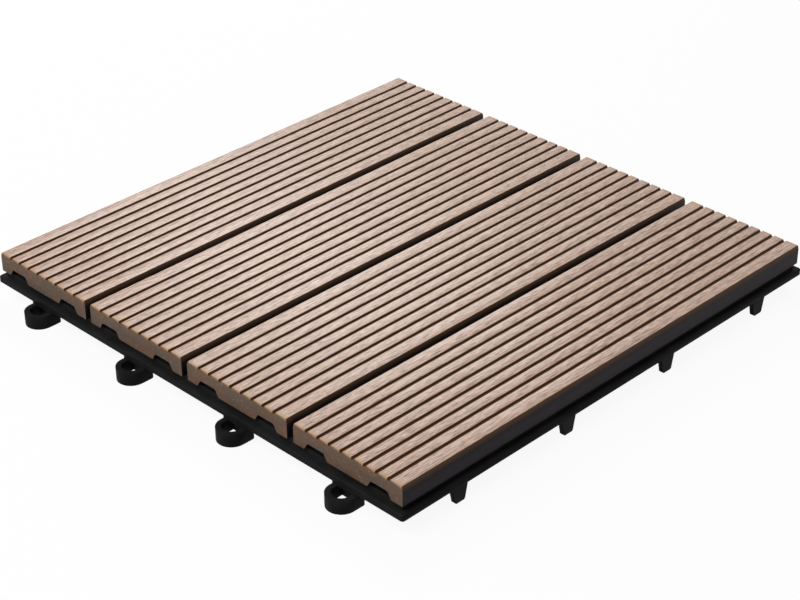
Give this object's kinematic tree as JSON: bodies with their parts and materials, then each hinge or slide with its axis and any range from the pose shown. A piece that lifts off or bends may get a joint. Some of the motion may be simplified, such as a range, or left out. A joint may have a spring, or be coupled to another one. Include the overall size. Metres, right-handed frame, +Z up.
{
  "type": "interlocking deck tile",
  "caption": "Square deck tile: four ribbed brown wood-composite slats screwed to a black plastic drain grid with ring and peg couplings, 300 mm square and 26 mm high.",
  "frame": {"origin": "centre of the tile on the ground, on the sole of the middle pad", "axes": "+Z up through the walking face, Y along the slats; rings stand out on the -Y and -X sides, pegs on the +X and +Y sides"},
  "size_m": [0.3136, 0.3136, 0.0262],
  "materials": {
    "wood_composite": "brushed",
    "black_polypropylene": "moulded satin",
    "stainless_steel": "satin"
  },
  "bodies": {
    "root": {"slat_1": "wood_composite", "slat_2": "wood_composite", "slat_3": "wood_composite", "slat_4": "wood_composite", "base_grid": "black_polypropylene", "slat_screws": "stainless_steel"}
  },
  "joints": []
}
